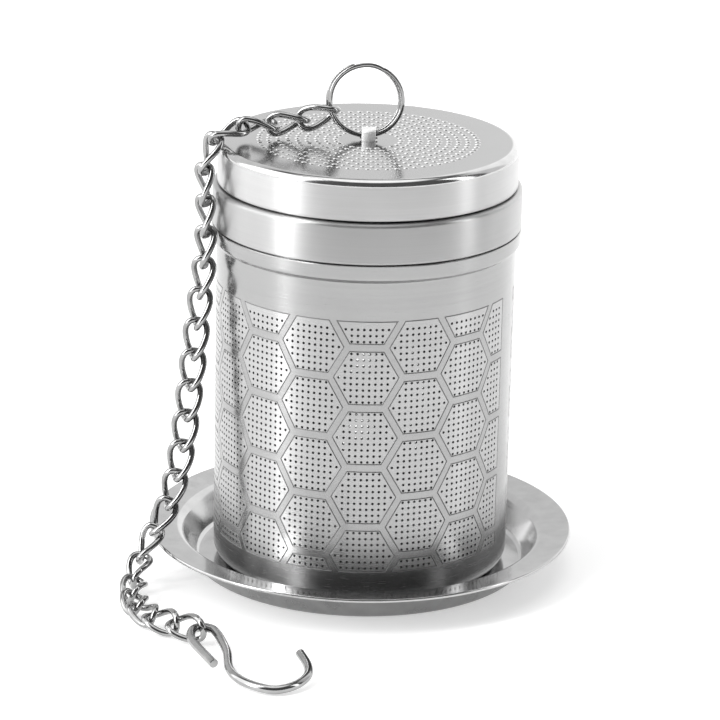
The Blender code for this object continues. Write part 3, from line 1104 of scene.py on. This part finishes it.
def make_chain():
    joints = {j["child"]: Vector(j["pos_m"]) for j in frame["joints"] if "pos_m" in j}
    names = sorted(n for n in frame["nodes"] if n.startswith("chain_link_"))
    line = link_line()
    sections = tube_sections(line, LINK_WIRE / 2, 12, True)
    for i, node in enumerate(names):
        body = node.replace("chain_", "")
        start = joints[body]
        end = joints[names[i + 1].replace("chain_", "")] if i + 1 < len(names) else joints["hook"]
        along = (end - start).normalized()
        across = link_facing(frame["nodes"][node], start, along)
        turn = Matrix((along, across, along.cross(across))).transposed()
        shape = Shape()
        shape.sweep([[start + turn @ p for p in section] for section in sections], True)
        shape.piece(node + "_detail", body, node, [CHAIN])


HOOK_WIRE = 1.5 * MM
HOOK_EYE_HEIGHT = 2.45 * MM

# The hook's centre line seen from above, in millimetres from its joint, from the cut end of its tail
# round the eye and the big bend to the tip.
HOOK_ROUTE_MM = (
    (2.8, -11.4),
    (0.9, -7.8),
    (-0.9, -4.1),
    (-1.4, -1.6),
    (-0.9, 0.4),
    (0.4, 1.1),
    (1.9, 0.4),
    (2.8, -1.2),
    (3.6, -3.4),
    (4.7, -7.6),
    (5.2, -12.4),
    (6.5, -15.6),
    (8.9, -18.0),
    (12.4, -19.4),
    (15.6, -18.0),
    (17.6, -14.8),
    (17.6, -11.2),
    (16.3, -7.1),
)


def make_hook():
    joint = next(Vector(j["pos_m"]) for j in frame["joints"] if j["child"] == "hook")
    route = smoothed([Vector((x, y, 0)) * MM for x, y in HOOK_ROUTE_MM], 12)
    drop = HOOK_EYE_HEIGHT - HOOK_WIRE / 2
    reach = min(p.y for p in route)
    points = [p + Vector((0, 0, HOOK_EYE_HEIGHT - joint.z - drop * max(0, p.y / reach))) for p in route]
    points = evenly([joint + p for p in points], 150, False)
    radius = [HOOK_WIRE / 2 - 0.02 * MM] * len(points)
    first = points[0] + (points[1] - points[0]) * 0.25
    last = points[-1] + (points[-2] - points[-1]) * 0.25
    points = [points[0], first] + points[1:-1] + [last, points[-1]]
    radius = [radius[0] * END_SHRINK, radius[0], *radius[1:-1], radius[0], radius[0] * END_SHRINK]
    shape = Shape()
    shape.sweep(tube_sections(points, radius, 20, False))
    shape.piece("s_hook_detail", "hook", "s_hook", [HOOK])


make_saucer()
make_basket_wall()
make_basket_floor()
make_collar()
make_neck_thread()
make_lid_cap()
make_lid_thread()
make_lid_strap()
make_split_ring()
make_chain()
make_hook()


# ---------------------------- studio


FLOOR_SIZE = 6.0
FLOOR_GAP = 0.2 * MM
FLOOR_GLOW = 0.45


def make_floor():
    """A wide white floor just under the saucer. Its faint glow keeps it pale."""
    material = bpy.data.materials.new("floor_white")
    material.use_nodes = True
    shader = material.node_tree.nodes["Principled BSDF"]
    shader.inputs["Base Color"].default_value = (0.8, 0.8, 0.8, 1)
    shader.inputs["Roughness"].default_value = 0.8
    shader.inputs["Specular IOR Level"].default_value = 0.1
    shader.inputs["Emission Color"].default_value = (1, 1, 1, 1)
    shader.inputs["Emission Strength"].default_value = FLOOR_GLOW
    mesh = bpy.data.meshes.new("floor")
    half = FLOOR_SIZE / 2
    corners = [(-half, -half, 0), (half, -half, 0), (half, half, 0), (-half, half, 0)]
    mesh.from_pydata(corners, [], [(0, 1, 2, 3)])
    mesh.materials.append(material)
    obj = bpy.data.objects.new("floor", mesh)
    obj.location = (0, 0, -FLOOR_GAP)
    bpy.context.scene.collection.objects.link(obj)


# Bright panels round the object: azimuth, half width, lowest and highest elevation, added strength
PANELS = (
    (180, 80, -10, 50, 0.8),
    (-62, 4, -30, 60, 14.0),
    (-80, 32, -20, 60, 2.2),
    (80, 5, -20, 50, 4.0),
    (150, 25, -20, 50, 0.5),
)
PANEL_BASE = 0.12
PANEL_EDGE = 4.0
PANEL_TOP = 1.6
PANEL_TOP_RISE = (58.0, 72.0)


def make_world():
    """A dim grey room with a bright ceiling and the panels, for its light and its reflections."""
    world = bpy.data.worlds.new("studio")
    world.use_nodes = True
    tree = world.node_tree
    background = tree.nodes["Background"]

    def combine(operation, *values):
        return math_node(tree, operation, *values)

    def step(value, start, end):
        node = map_range(tree, value, (start, end))
        node.interpolation_type = "SMOOTHSTEP"
        return node.outputs["Result"]

    coords = tree.nodes.new("ShaderNodeTexCoord")
    split = tree.nodes.new("ShaderNodeSeparateXYZ")
    tree.links.new(coords.outputs["Generated"], split.inputs[0])
    x, y, z = split.outputs
    azimuth = combine("DEGREES", combine("ARCTAN2", x, combine("MULTIPLY", y, -1.0)))
    elevation = combine("DEGREES", combine("ARCSINE", z))
    total = combine("MULTIPLY", step(elevation, *PANEL_TOP_RISE), PANEL_TOP)
    total = combine("ADD", total, PANEL_BASE)
    for centre, half, low, high, strength in PANELS:
        away = combine("SUBTRACT", azimuth, float(centre))
        away = combine("ABSOLUTE", combine("WRAP", away, 180.0, -180.0))
        across = step(away, half + PANEL_EDGE, half - PANEL_EDGE)
        over, under = step(elevation, low - 5.0, low + 5.0), step(elevation, high + 6.0, high - 6.0)
        up = combine("MULTIPLY", over, under)
        panel = combine("MULTIPLY", combine("MULTIPLY", across, up), float(strength))
        total = combine("ADD", total, panel)
    tree.links.new(total, background.inputs["Strength"])
    background.inputs["Color"].default_value = (1, 1, 1, 1)
    bpy.context.scene.world = world


def make_camera():
    """The camera looks down at a point on the basket's axis, with a slight roll."""
    elevation = math.radians(18.644)
    roll = math.radians(1.3456)
    distance = 0.62488
    target = Vector((0, 0, 0.03369))
    forward = Vector((0, math.cos(elevation), -math.sin(elevation)))
    level_up = Vector((0, math.sin(elevation), math.cos(elevation)))
    right = math.cos(roll) * Vector((1, 0, 0)) + math.sin(roll) * level_up
    up = math.cos(roll) * level_up - math.sin(roll) * Vector((1, 0, 0))
    camera = bpy.data.cameras.new("camera")
    camera.lens = 185.0
    camera.sensor_width = 36.0
    camera.shift_x = -0.00456
    camera.shift_y = 0.01264
    obj = bpy.data.objects.new("camera", camera)
    turn = Matrix((right, up, -forward)).transposed().to_4x4()
    obj.matrix_world = Matrix.Translation(target - forward * distance) @ turn
    bpy.context.scene.collection.objects.link(obj)
    bpy.context.scene.camera = obj


make_world()
make_floor()
make_camera()
bpy.context.scene.view_settings.view_transform = "Standard"
